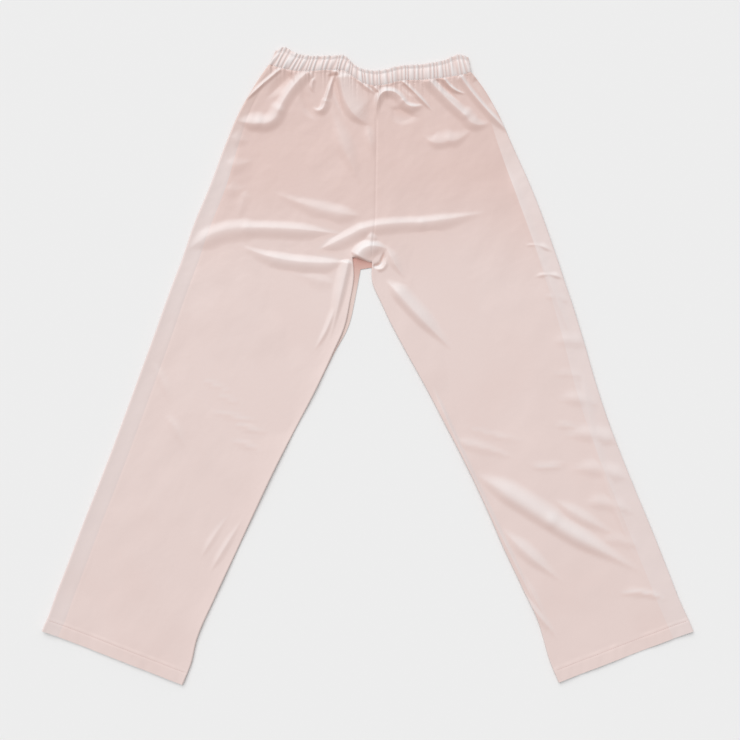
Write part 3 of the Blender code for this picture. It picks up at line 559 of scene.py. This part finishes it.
def tricot(name, leg_colour, hip_shade_colour, roughness, hip_from=0.10, hip_to=0.34):
    """Warp-knit satin tricot: fine wales down the cloth, a soft shine, a dye that takes unevenly, painted
    shade in a deeper colour towards the hip, and painted highlight and shade read from the mesh.
    """
    material = bpy.data.materials.new(name)
    material.use_nodes = True
    nodes, link = material.node_tree.nodes, material.node_tree.links.new
    shader = nodes["Principled BSDF"]
    shader.inputs["Roughness"].default_value = roughness
    shader.inputs["Specular IOR Level"].default_value = 0.85
    shader.inputs["Sheen Weight"].default_value = 0.15
    shader.inputs["Sheen Roughness"].default_value = 0.4
    shader.inputs["Sheen Tint"].default_value = (1.0, 0.92, 0.9, 1)
    where = nodes.new("ShaderNodeTexCoord")
    cut = nodes.new("ShaderNodeUVMap")
    cut.uv_map = "cut"
    dye = nodes.new("ShaderNodeTexNoise")
    dye.inputs["Scale"].default_value = 7.0
    dye.inputs["Detail"].default_value = 4.0
    link(where.outputs["Object"], dye.inputs["Vector"])
    axes = nodes.new("ShaderNodeSeparateXYZ")
    link(where.outputs["Object"], axes.inputs["Vector"])
    # deeper, darker colour towards the hip: painted shade of its crowded folds, mixed with the dye's uneven
    # take
    to_hip = nodes.new("ShaderNodeMapRange")
    to_hip.interpolation_type = "SMOOTHSTEP"
    to_hip.inputs["From Min"].default_value = hip_from
    to_hip.inputs["From Max"].default_value = hip_to
    link(axes.outputs["Y"], to_hip.inputs["Value"])
    uneven = nodes.new("ShaderNodeMath")
    uneven.operation = "MULTIPLY_ADD"
    uneven.inputs[1].default_value = 0.7
    uneven.inputs[2].default_value = -0.35
    link(dye.outputs["Fac"], uneven.inputs[0])
    dye_and_hip_shade = nodes.new("ShaderNodeMath")
    dye_and_hip_shade.use_clamp = True
    link(to_hip.outputs["Result"], dye_and_hip_shade.inputs[0])
    link(uneven.outputs["Value"], dye_and_hip_shade.inputs[1])
    colours = nodes.new("ShaderNodeMix")
    colours.data_type = "RGBA"
    colours.inputs["A"].default_value = (*leg_colour, 1)
    colours.inputs["B"].default_value = (*hip_shade_colour, 1)
    link(dye_and_hip_shade.outputs["Value"], colours.inputs["Factor"])
    # painted highlight: towards a pale colour where the attribute is above zero; painted shade: towards a
    # deep colour where it is below
    painted_light_input = nodes.new("ShaderNodeAttribute")
    painted_light_input.attribute_name = "painted_light"
    painted_highlight_mix = nodes.new("ShaderNodeMix")
    painted_highlight_mix.data_type = "RGBA"
    painted_highlight_mix.inputs["B"].default_value = (*PAINTED_HIGHLIGHT_PINK, 1)
    link(colours.outputs["Result"], painted_highlight_mix.inputs["A"])
    link(painted_light_input.outputs["Fac"], painted_highlight_mix.inputs["Factor"])
    painted_shade_share = nodes.new("ShaderNodeMath")
    painted_shade_share.operation = "MULTIPLY"
    painted_shade_share.use_clamp = True
    painted_shade_share.inputs[1].default_value = -1.0
    link(painted_light_input.outputs["Fac"], painted_shade_share.inputs[0])
    painted_shade_mix = nodes.new("ShaderNodeMix")
    painted_shade_mix.data_type = "RGBA"
    painted_shade_mix.inputs["B"].default_value = (*PAINTED_SHADE_PINK, 1)
    link(painted_highlight_mix.outputs["Result"], painted_shade_mix.inputs["A"])
    link(painted_shade_share.outputs["Value"], painted_shade_mix.inputs["Factor"])
    link(painted_shade_mix.outputs["Result"], shader.inputs["Base Color"])
    wales = nodes.new("ShaderNodeTexWave")
    wales.bands_direction = "X"
    wales.inputs["Scale"].default_value = 330.0
    wales.inputs["Distortion"].default_value = 1.5
    wales.inputs["Detail"].default_value = 2.0
    link(cut.outputs["UV"], wales.inputs["Vector"])
    crinkle = nodes.new("ShaderNodeTexNoise")
    crinkle.inputs["Scale"].default_value = 160.0
    crinkle.inputs["Detail"].default_value = 3.0
    link(where.outputs["Object"], crinkle.inputs["Vector"])
    knit = nodes.new("ShaderNodeBump")
    knit.inputs["Strength"].default_value = 0.35
    knit.inputs["Distance"].default_value = 0.06 * MM
    link(wales.outputs["Fac"], knit.inputs["Height"])
    soft = nodes.new("ShaderNodeBump")
    soft.inputs["Strength"].default_value = 0.5
    soft.inputs["Distance"].default_value = 0.25 * MM
    link(crinkle.outputs["Fac"], soft.inputs["Height"])
    link(knit.outputs["Normal"], soft.inputs["Normal"])
    link(soft.outputs["Normal"], shader.inputs["Normal"])
    return material


PINK = (0.785, 0.635, 0.60)
# the hip colour is painted shade: deeper and darker where the folds crowd
HIP_SHADE_PINK = (0.725, 0.535, 0.49)
# the colours of the painted highlight and of the painted shade
PAINTED_HIGHLIGHT_PINK = (0.82, 0.775, 0.77)
PAINTED_SHADE_PINK = (0.68, 0.45, 0.39)
FRONT_COLUMNS, CURL_COLUMNS = 124, 12
satin = tricot("satin_tricot", PINK, HIP_SHADE_PINK, 0.46)

for leg in LEGS:
    rows, hip_row = leg_rows(leg)
    outer, inner = rows[:, None, OUTER], rows[:, None, INNER]
    across = inner - outer
    width = np.linalg.norm(across, axis=2)
    across = across / width[:, :, None]
    start = rows[:, STRIPE]
    body = 1 - (1 - np.linspace(0, 1, FRONT_COLUMNS)) ** 1.25
    edge = 1 - (1 - np.linspace(0, 1, CURL_COLUMNS + 1)[1:]) ** 1.5
    crotch = hip_row.sum() - 1
    corner = np.where(hip_row, leg.front_corner * width / width[crotch], INSEAM_RADIUS)
    reach = np.concatenate([start + (width - corner - start) * body, width - corner * (1 - edge)], axis=1)
    plan = outer + across * reach[:, :, None]
    move_to_waist(leg, plan, rows[:, None, OUTER_Y], hip_row)
    # the hip rows end on the centre seam
    off_seam = np.interp(-plan[:, -1, 1], -CENTRE_SEAM[:, 1], CENTRE_SEAM[:, 0]) - plan[:, -1, 0]
    near_seam = np.linspace(0, 1, FRONT_COLUMNS + CURL_COLUMNS) ** 8
    plan[:, :, 0] += np.where(hip_row, off_seam[:, None] * near_seam, 0)
    top = cloth_top(*plan.reshape(-1, 2).T).reshape(plan.shape[:2])
    # below the crotch the last columns go round the curl of the inseam, down to the back
    turn = np.linspace(np.pi / 2, 0, CURL_COLUMNS)[None, :]
    curl = plan[:, FRONT_COLUMNS - 1 : FRONT_COLUMNS] + across * (INSEAM_RADIUS * np.cos(turn))[:, :, None]
    fall = top[:, FRONT_COLUMNS - 1 : FRONT_COLUMNS] - INSEAM_RADIUS * (1 - np.sin(turn))
    fall[:, -1] = INSEAM_FOOT
    plan[:, FRONT_COLUMNS:] = np.where(hip_row[:, :, None], plan[:, FRONT_COLUMNS:], curl)
    top[:, FRONT_COLUMNS:] = np.where(hip_row, top[:, FRONT_COLUMNS:], fall)
    # the free lip over the crotch turns down at its edge
    if leg.side < 0:
        for k, drop in enumerate(LIP_TURN):
            top[crotch - k, FRONT_COLUMNS:] -= drop * MM
    places = np.concatenate([plan, top[:, :, None]], axis=2)
    cut_places = np.stack(np.broadcast_arrays(reach, rows[:, 0:1]), axis=2)
    # each point of the front carries its painted highlight and shade
    bm, row, column = cloth_piece(places, cut_places, painted_light(*plan.reshape(-1, 2).T).reshape(top.shape))
    if leg.side < 0:
        web = [f for f in bm.faces if min(column[v.index] for v in f.verts) >= FRONT_COLUMNS - 1
               and {row[v.index] for v in f.verts} == {crotch, crotch + 1}]
        bmesh.ops.delete(bm, geom=web, context="FACES")
    if leg.side > 0:
        bmesh.ops.reverse_faces(bm, faces=bm.faces)
    front = finish(bm, f"{leg.name}_front", WALL, satin)
    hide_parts(f"front_{leg.name}_leg")
    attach(front, "root")

# Side panels
# A tonal strip of the same tricot down each side, waistband to hem, sewn to the front on top and to
# the back underneath, and folded round the edge of the leg.

STRIPE_UNDER = 20.0 * MM
STRIPE_COLUMNS, BEND_COLUMNS = 14, 12
STRIPE_PINK = (0.782, 0.66, 0.635)
# towards the hip the side panels too are painted a deeper colour, painted shade
STRIPE_HIP_SHADE_PINK = (0.715, 0.525, 0.475)
side_satin = tricot("side_tricot", STRIPE_PINK, STRIPE_HIP_SHADE_PINK, 0.46, hip_from=0.30, hip_to=0.46)

for leg in LEGS:
    rows, hip_row = leg_rows(leg)
    outer, inner = rows[:, None, OUTER], rows[:, None, INNER]
    across = (inner - outer) / np.linalg.norm(inner - outer, axis=2, keepdims=True)
    reach = rows[:, STRIPE] + (SIDE_RADIUS - rows[:, STRIPE]) * np.linspace(0, 1, STRIPE_COLUMNS)
    plan = outer + across * reach[:, :, None]
    move_to_waist(leg, plan, rows[:, None, OUTER_Y], hip_row)
    top = cloth_top(*plan.reshape(-1, 2).T).reshape(plan.shape[:2])
    turn = np.linspace(np.pi / 2, -np.pi / 2, BEND_COLUMNS + 1)[None, 1:]
    bend = plan[:, -1:] - across * (SIDE_RADIUS * np.cos(turn))[:, :, None]
    sink = top[:, -1:] / 2 * (1 + np.sin(turn))
    under = np.repeat(outer + across * STRIPE_UNDER, 2, axis=1)
    under[:, 0] = (bend[:, -1] + under[:, 1]) / 2
    move_to_waist(leg, under[:, 1:], rows[:, None, OUTER_Y], hip_row)
    places = np.concatenate([
        np.concatenate([plan, top[:, :, None]], axis=2),
        np.concatenate([bend, sink[:, :, None]], axis=2),
        np.concatenate([under, np.zeros((len(rows), 2, 1))], axis=2),
    ], axis=1)
    steps = np.linalg.norm(np.diff(places, axis=1), axis=2)
    run = np.concatenate([np.zeros((len(rows), 1)), np.cumsum(steps, axis=1)], axis=1)
    cut_places = np.stack(np.broadcast_arrays(run, rows[:, 0:1]), axis=2)
    # painted highlight and shade of the side panel, from the folds and slope
    painted_light_shares = painted_light(*places[:, :, :2].reshape(-1, 2).T).reshape(run.shape)
    bm = cloth_piece(places, cut_places, painted_light_shares)[0]
    if leg.side < 0:
        bmesh.ops.reverse_faces(bm, faces=bm.faces)
    strip = finish(bm, f"{leg.name}_side", WALL, side_satin)
    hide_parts(f"side_stripe_{leg.name}")
    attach(strip, "root")

# Back panels
# The same cut as the fronts, lying underneath with the inside of the cloth up and the satin down. They
# lie flat but for a few creases, lift a little under the large folds of the fronts, and show at the
# crotch and past the right inseam.

BACK_TOP = 1.0 * MM
BACK_WALL = 0.8 * MM
BACK_ROOM = 0.15 * MM
BACK_COLUMNS = 60
BACK_DROP = 17.0 * MM  # how far the foot of the centre seam hangs down behind
BACK_DROP_REACH = 60.0 * MM
BACK_SLIDE = 80.0 * MM
UNDER_BAND = 1.0 * MM
# creases in which the cloth of the back is lifted off the ground, set out like the front's folds
BACK_FOLDS = [
    Fold(-104, 430, -116, 376, -100, 318, 1.5, 16, 14, 0.4, 0.5),
    Fold(-196, 372, -166, 344, -124, 342, 1.2, 12, 14, 0.4, 0.4),
    Fold(50, 440, 72, 392, 66, 336, 1.6, 14, 16, 0.4, 0.5),
    Fold(140, 416, 160, 372, 186, 344, 1.3, 13, 12, 0.3, 0.5),
    Fold(-200, 206, -122, 226, -34, 198, 1.8, 15, 13, 0.4, 0.4),
    Fold(38, 192, 118, 220, 208, 204, 1.6, 14, 15, 0.4, 0.3),
    Fold(-232, 122, -160, 98, -78, 116, 1.5, 14, 13, 0.4, 0.4),
    Fold(-126, 64, -178, 4, -250, -28, 1.4, 15, 13, 0.3, 0.5),
    Fold(106, 112, 176, 74, 252, 84, 1.5, 13, 15, 0.4, 0.4),
    Fold(150, -56, 228, -102, 332, -92, 1.7, 15, 14, 0.3, 0.4),
    Fold(206, -188, 268, -250, 362, -272, 1.6, 16, 14, 0.3, 0.4),
    Fold(-334, -78, -282, -122, -208, -112, 1.4, 14, 13, 0.4, 0.3),
    Fold(-412, -228, -350, -270, -286, -254, 1.5, 14, 15, 0.4, 0.4),
    Fold(284, -358, 334, -398, 404, -384, 1.2, 13, 13, 0.4, 0.4),
    Fold(-440, -380, -386, -422, -326, -406, 1.1, 12, 13, 0.4, 0.4),
]
INSIDE_PINK = (0.76, 0.60, 0.55)
# deep rose where the back shows under the front's lip at the crotch: painted shade
INSIDE_SHADE_ROSE = (0.56, 0.25, 0.20)
inside = tricot("tricot_inside", INSIDE_PINK, INSIDE_SHADE_ROSE, 0.7, hip_from=0.105, hip_to=0.200)


def slide_down(points, hang):
    """Slides a leg's points down their columns, most at the top, to clear what hangs down into them."""
    for column, line in enumerate(points.swapaxes(0, 1)):
        run = running_length(line)
        target = run + hang[column] * (1 - ease(run / BACK_SLIDE))
        points[:, column] = np.stack([np.interp(target, run, line[:, k]) for k in (0, 1)], axis=1)


for leg in LEGS:
    rows, hip_row = leg_rows(leg, 2)
    rows[:, INNER_X] += np.where(hip_row[:, 0], 0, rows[:, PEEK])
    outer, inner = rows[:, None, OUTER], rows[:, None, INNER]
    across = inner - outer
    width = np.linalg.norm(across, axis=2)
    across = across / width[:, :, None]
    share = np.linspace(0, 1, BACK_COLUMNS)[None, :]
    reach = STRIPE_UNDER + (width - STRIPE_UNDER) * share
    plan = outer + across * reach[:, :, None]
    last = np.flatnonzero(hip_row)[-1]
    hang = plan[last, :, 1].copy()
    move_to_waist(leg, plan, rows[:, None, OUTER_Y], hip_row)
    foot_y = CENTRE_SEAM[-1, 1]
    drop = (BACK_DROP - LIP_DROP) * ease(1 - (plan[:, -1:, 1] + LIP_DROP - foot_y) / BACK_DROP_REACH)
    plan[:, :, 1] -= np.where(hip_row, drop * ease(1.6 * reach / width), 0)
    hang -= plan[last, :, 1]
    slide_down(plan[last + 1 :], hang)
    plan[0, :, 1] += UNDER_BAND
    x, y = plan.reshape(-1, 2).T
    room = cloth_top(x, y) - WALL - BACK_ROOM - BACK_TOP
    lift = np.clip(0.25 * relief(x, y) + relief(x, y, BACK_FOLDS), 0, np.clip(room, 0, None))
    places = np.concatenate([plan, BACK_TOP + lift.reshape(plan.shape[:2])[:, :, None]], axis=2)
    cut_places = np.stack(np.broadcast_arrays(reach, rows[:, 0:1]), axis=2)
    # painted highlight and shade along the back's own creases
    bm = cloth_piece(places, cut_places, painted_light(x, y, BACK_FOLDS).reshape(plan.shape[:2]))[0]
    if leg.side > 0:
        bmesh.ops.reverse_faces(bm, faces=bm.faces)
    back = finish(bm, f"{leg.name}_back", BACK_WALL, inside, satin)
    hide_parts(f"back_{leg.name}_leg")
    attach(back, "root")

# Waistband
# A casing of the same tricot, folded over a woven elastic, drawn up by it and stitched along its
# lower edge and again below its top edge. Its back half lies flat under its front half.

BAND_WALL = 2.4 * MM
BAND_GAP = 0.4 * MM
BAND_TOP = 5.0 * MM
BAND_END_RADIUS = 2.8 * MM
BAND_RIBS = 1.9 * MM
BAND_HEADER = 0.76
FRONT_STATIONS, BACK_STATIONS, END_STATIONS = 456, 228, 8
BAND_ROWS, TOP_ROWS = 22, 5


def band_lift(across):
    """How high the casing stands between its two rows of stitches and above them."""
    tube = np.sin(np.pi * np.clip(across / BAND_HEADER, 0, 1)) ** 0.5
    frill = np.sin(np.pi * np.clip((across - BAND_HEADER) / (1.25 - BAND_HEADER), 0, 1)) ** 0.6
    return np.where(across < BAND_HEADER, 1.8 * tube, 1.3 * frill) * MM


def held_down(across):
    """How much of the gathers' height is left where stitches hold the cloth."""
    header = 0.45 * np.exp(-(((across - BAND_HEADER) / 0.07) ** 2))
    return 1 - header - (1 - WAIST_GATHERS / BAND_RIBS) * np.exp(-((across / 0.08) ** 2))


end = BAND_END_RADIUS / np.linalg.norm(WAIST_LINE[-1] - WAIST_LINE[0])
turns = np.sin(np.linspace(np.pi / 2, -np.pi / 2, END_STATIONS + 2))[1:-1]
share = np.concatenate([
    np.linspace(end, 1 - end, FRONT_STATIONS), np.full(END_STATIONS, 1 - end),
    np.linspace(1 - end, end, BACK_STATIONS), np.full(END_STATIONS, end), [end],
])
face_up = np.concatenate([np.ones(FRONT_STATIONS), turns, -np.ones(BACK_STATIONS), turns[::-1], [1.0]])
edges = band_edges(share)
low, high = edges[:, :2], edges[:, 2:]
ahead = band_edges(np.minimum(share + 0.01, 1))[:, :2] - band_edges(share - 0.01)[:, :2]
ahead /= np.linalg.norm(ahead, axis=1, keepdims=True)
outwards = ahead * (np.where(share > 0.5, 1, -1) * np.sqrt(1 - face_up**2))[:, None]
upwards = (high - low) / np.linalg.norm(high - low, axis=1, keepdims=True)
# the gathers lean to the left leg near both ends and at the dip, and stand straight between them
lean = 0.9 * np.exp(-((share / 0.28) ** 2)) + 0.8 * np.exp(-(((share - 0.36) / 0.08) ** 2))
lean -= 0.5 * ease((share - 0.8) / 0.2)
across = (np.linspace(0, 1, BAND_ROWS) ** 1.25)[None, :]
count = gather_count(share[:, None]) - lean[:, None] * across
wave = gather_wave(count)
place = low[:, None] + (high - low)[:, None] * across[:, :, None] + (outwards * BAND_END_RADIUS)[:, None]
height = BAND_TOP + band_lift(across) + BAND_RIBS * (wave - 0.5) * held_down(across) * (face_up[:, None] > 0)
height = height * (1 + face_up[:, None]) / 2
over = np.linspace(0, np.pi, TOP_ROWS + 2)[None, 1:]
scallop = (2.2 * wave[:, -1:] - 1.2) * MM
round_top = 0.95 * MM
place += upwards[:, None] * (scallop * across**6)[:, :, None]
inside_height = BAND_WALL + BAND_GAP * (1 + face_up[:, None]) / 2
top_height = height[:, -1:] + (inside_height - height[:, -1:]) * (1 - np.cos(over)) / 2
top_place = place[:, -1:] + upwards[:, None] * (round_top * np.sin(over))[:, :, None]
shrink = ((BAND_END_RADIUS - BAND_GAP) * (1 - np.cos(over)) / 2)[:, :, None]
top_place = top_place - outwards[:, None] * shrink
inner_place = low[:, None] + outwards[:, None] * BAND_GAP
places = np.concatenate([
    np.concatenate([place, height[:, :, None]], axis=2),
    np.concatenate([top_place, top_height[:, :, None]], axis=2),
    np.concatenate([inner_place, inside_height[:, :, None]], axis=2),
    np.concatenate([place[:, :1], height[:, :1, None]], axis=2),
], axis=1)
steps = np.linalg.norm(np.diff(places, axis=1), axis=2)
run = np.concatenate([np.zeros((len(share), 1)), np.cumsum(steps, axis=1)], axis=1)
stretch = running_length(places[:, 8])
cut_places = np.stack(np.broadcast_arrays(stretch[:, None], run), axis=2)
# painted highlight on the casing: all of it a little paler, and its face much paler on the crests of the
# gathers than in the hollows between them
painted_light_shares = 0.2 + 0.68 * wave * (face_up[:, None] > 0)
painted_light_shares = np.pad(painted_light_shares, ((0, 0), (0, run.shape[1] - BAND_ROWS)), mode="edge")
bm = cloth_piece(places, cut_places, painted_light_shares)[0]
bmesh.ops.remove_doubles(bm, verts=bm.verts, dist=1e-6)
bmesh.ops.recalc_face_normals(bm, faces=bm.faces)
casing = finish(bm, "waistband_casing", 0, satin)
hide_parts("waistband")
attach(casing, "root")

# Stitching
# Polyester thread in small lock stitches: along both lines of the waistband and round the hems.

# thread colours partly painted light: the band's thread paler than the cloth, a painted highlight along its
# stitched lines; the hems' thread darker, a painted shade along the groove its stitches sink
BAND_THREAD_HIGHLIGHT_PINK = (0.90, 0.84, 0.83)
HEM_THREAD_SHADE_PINK = (0.66, 0.49, 0.46)
STITCH, STITCH_GAP = 2.6 * MM, 0.5 * MM
BAND_THREAD, HEM_THREAD = 1.5 * MM, 0.9 * MM


def thread(name, colour):
    material = bpy.data.materials.new(name)
    material.use_nodes = True
    material.node_tree.nodes["Principled BSDF"].inputs["Base Color"].default_value = (*colour, 1)
    material.node_tree.nodes["Principled BSDF"].inputs["Roughness"].default_value = 0.5
    return material


def sew(bm, line, thread_width):
    """Stitches of one length along a line of points."""
    run = running_length(line)
    for start in np.arange(STITCH_GAP, run[-1] - STITCH, STITCH + STITCH_GAP):
        ends = [Vector([np.interp(at, run, line[:, k]) for k in range(3)]) for at in (start, start + STITCH)]
        middle, way = (ends[0] + ends[1]) / 2, ends[1] - ends[0]
        shape = Matrix.Diagonal((way.length / 2, thread_width / 2, thread_width / 3, 1))
        turned = Matrix.Translation(middle) @ way.to_track_quat("X", "Z").to_matrix().to_4x4() @ shape
        bmesh.ops.create_icosphere(bm, subdivisions=1, radius=1.0, matrix=turned)


bm = bmesh.new()
for at, thread_width in ((0, BAND_THREAD), (int(np.abs(across[0] - BAND_HEADER).argmin()), HEM_THREAD)):
    line = places[4 : FRONT_STATIONS - 4, at].copy()
    line[:, 2] += thread_width / 5
    sew(bm, line, thread_width)
band_stitches = finish(bm, "waistband_stitching", 0, thread("band_thread_painted_highlight", BAND_THREAD_HIGHLIGHT_PINK))
bm = bmesh.new()
for hem, leg in zip(HEMS, LEGS):
    away = (np.array(leg.leg[-2][OUTER]) - np.array(leg.leg[-1][OUTER])) * MM
    away /= np.linalg.norm(away)
    along = np.linspace(0.02, 0.98, 240)[:, None]
    line = hem[0] + (hem[1] - hem[0]) * along + away * HEM_TURN_UP
    sew(bm, np.column_stack([line, cloth_top(*line.T) + 0.05 * MM]), HEM_THREAD)
hem_stitches = finish(bm, "hem_stitching", 0, thread("hem_thread_painted_shade", HEM_THREAD_SHADE_PINK))
for stitches in (band_stitches, hem_stitches):
    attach(stitches, "root")
